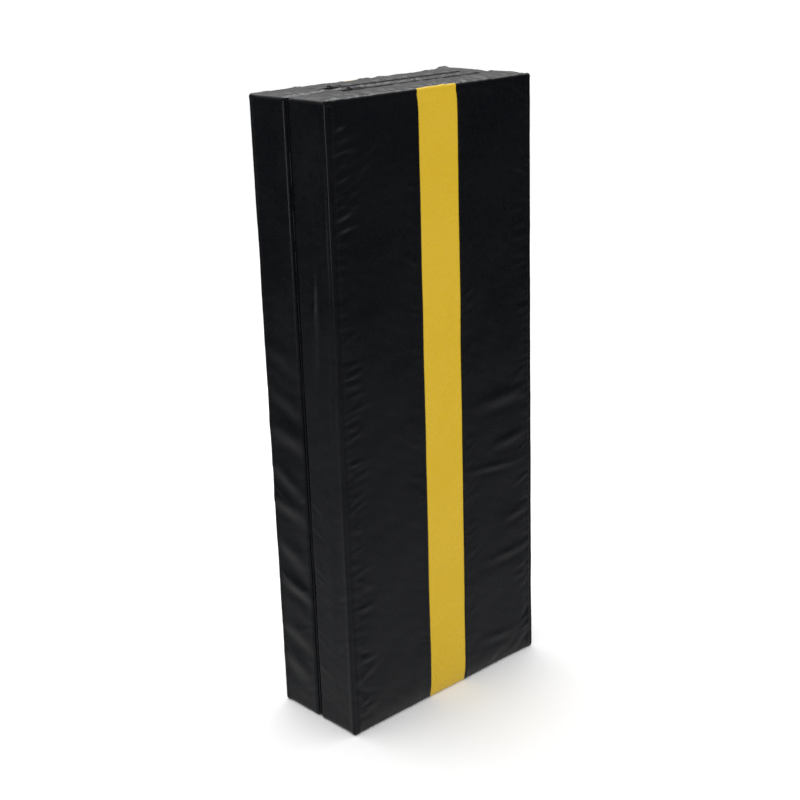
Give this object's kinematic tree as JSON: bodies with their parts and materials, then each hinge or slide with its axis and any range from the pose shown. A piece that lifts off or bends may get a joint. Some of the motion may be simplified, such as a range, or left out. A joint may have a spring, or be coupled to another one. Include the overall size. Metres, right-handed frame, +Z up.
{
  "type": "folding gym mat",
  "caption": "Bi-fold foam gym mat folded on its fabric hinge, with vinyl-covered panels, contrast centre stripes, zipped covers and webbing carry handles.",
  "frame": {"origin": "on the floor, under the middle of the whole folded mat with its carry handles", "axes": "+Z up along the mat's long edge; +X from the hinge side to the open side with the handles; -Y is the way the front panel's striped face looks"},
  "size_m": [0.5468, 0.213, 1.2263],
  "materials": {
    "black_vinyl": "satin",
    "yellow_vinyl": "satin",
    "soft_foam": "matte",
    "firm_foam": "matte",
    "webbing": "matte",
    "zip_tape": "matte",
    "zip_metal": "satin"
  },
  "bodies": {
    "back_panel": {"back_foam_inner": "firm_foam", "back_foam_outer": "soft_foam", "back_face_hinge_side": "black_vinyl", "back_stripe": "yellow_vinyl", "back_face_open_side": "black_vinyl", "back_inner_sheet": "black_vinyl", "back_hinge_gusset": "black_vinyl", "back_open_gusset": "black_vinyl", "back_top_gusset": "black_vinyl", "back_bottom_gusset": "black_vinyl", "back_zip_tape_inner": "zip_tape", "back_zip_tape_outer": "zip_tape", "back_zip_stop_start": "zip_metal", "back_zip_stop_end": "zip_metal", "back_handle_strap": "webbing", "back_handle_patch_lower": "black_vinyl", "back_handle_patch_upper": "black_vinyl", "hinge_strip": "black_vinyl"},
    "front_panel": {"front_foam_inner": "firm_foam", "front_foam_outer": "soft_foam", "front_face_hinge_side": "black_vinyl", "front_stripe": "yellow_vinyl", "front_face_open_side": "black_vinyl", "front_inner_sheet": "black_vinyl", "front_hinge_gusset": "black_vinyl", "front_open_gusset": "black_vinyl", "front_top_gusset": "black_vinyl", "front_bottom_gusset": "black_vinyl", "front_zip_tape_inner": "zip_tape", "front_zip_tape_outer": "zip_tape", "front_zip_stop_start": "zip_metal", "front_zip_stop_end": "zip_metal", "front_handle_strap": "webbing", "front_handle_patch_lower": "black_vinyl", "front_handle_patch_upper": "black_vinyl"},
    "back_zip_slider": {"back_zip_slider": "zip_metal"},
    "back_zip_pull": {"back_zip_pull": "zip_metal"},
    "front_zip_slider": {"front_zip_slider": "zip_metal"},
    "front_zip_pull": {"front_zip_pull": "zip_metal"}
  },
  "joints": [
    {"name": "mat_fold", "type": "hinge", "parent": "back_panel", "child": "front_panel", "pos_m": [-0.2744, 0, 0.61], "axis": [0, 0, -1], "range_deg": [0, 180], "deforming": ["hinge_strip"]},
    {"name": "back_zip_slide", "type": "slide", "parent": "back_panel", "child": "back_zip_slider", "axis": [1, 0, 0], "range_m": [0, 0.319]},
    {"name": "back_zip_pull_swing", "type": "hinge", "parent": "back_zip_slider", "child": "back_zip_pull", "pos_m": [-0.1514, 0.0265, 1.2239], "axis": [0, -1, 0], "range_deg": [0, 180]},
    {"name": "front_zip_slide", "type": "slide", "parent": "front_panel", "child": "front_zip_slider", "axis": [1, 0, 0], "range_m": [0, 0.319]},
    {"name": "front_zip_pull_swing", "type": "hinge", "parent": "front_zip_slider", "child": "front_zip_pull", "pos_m": [-0.1514, -0.0265, 1.2239], "axis": [0, -1, 0], "range_deg": [0, 180]}
  ]
}
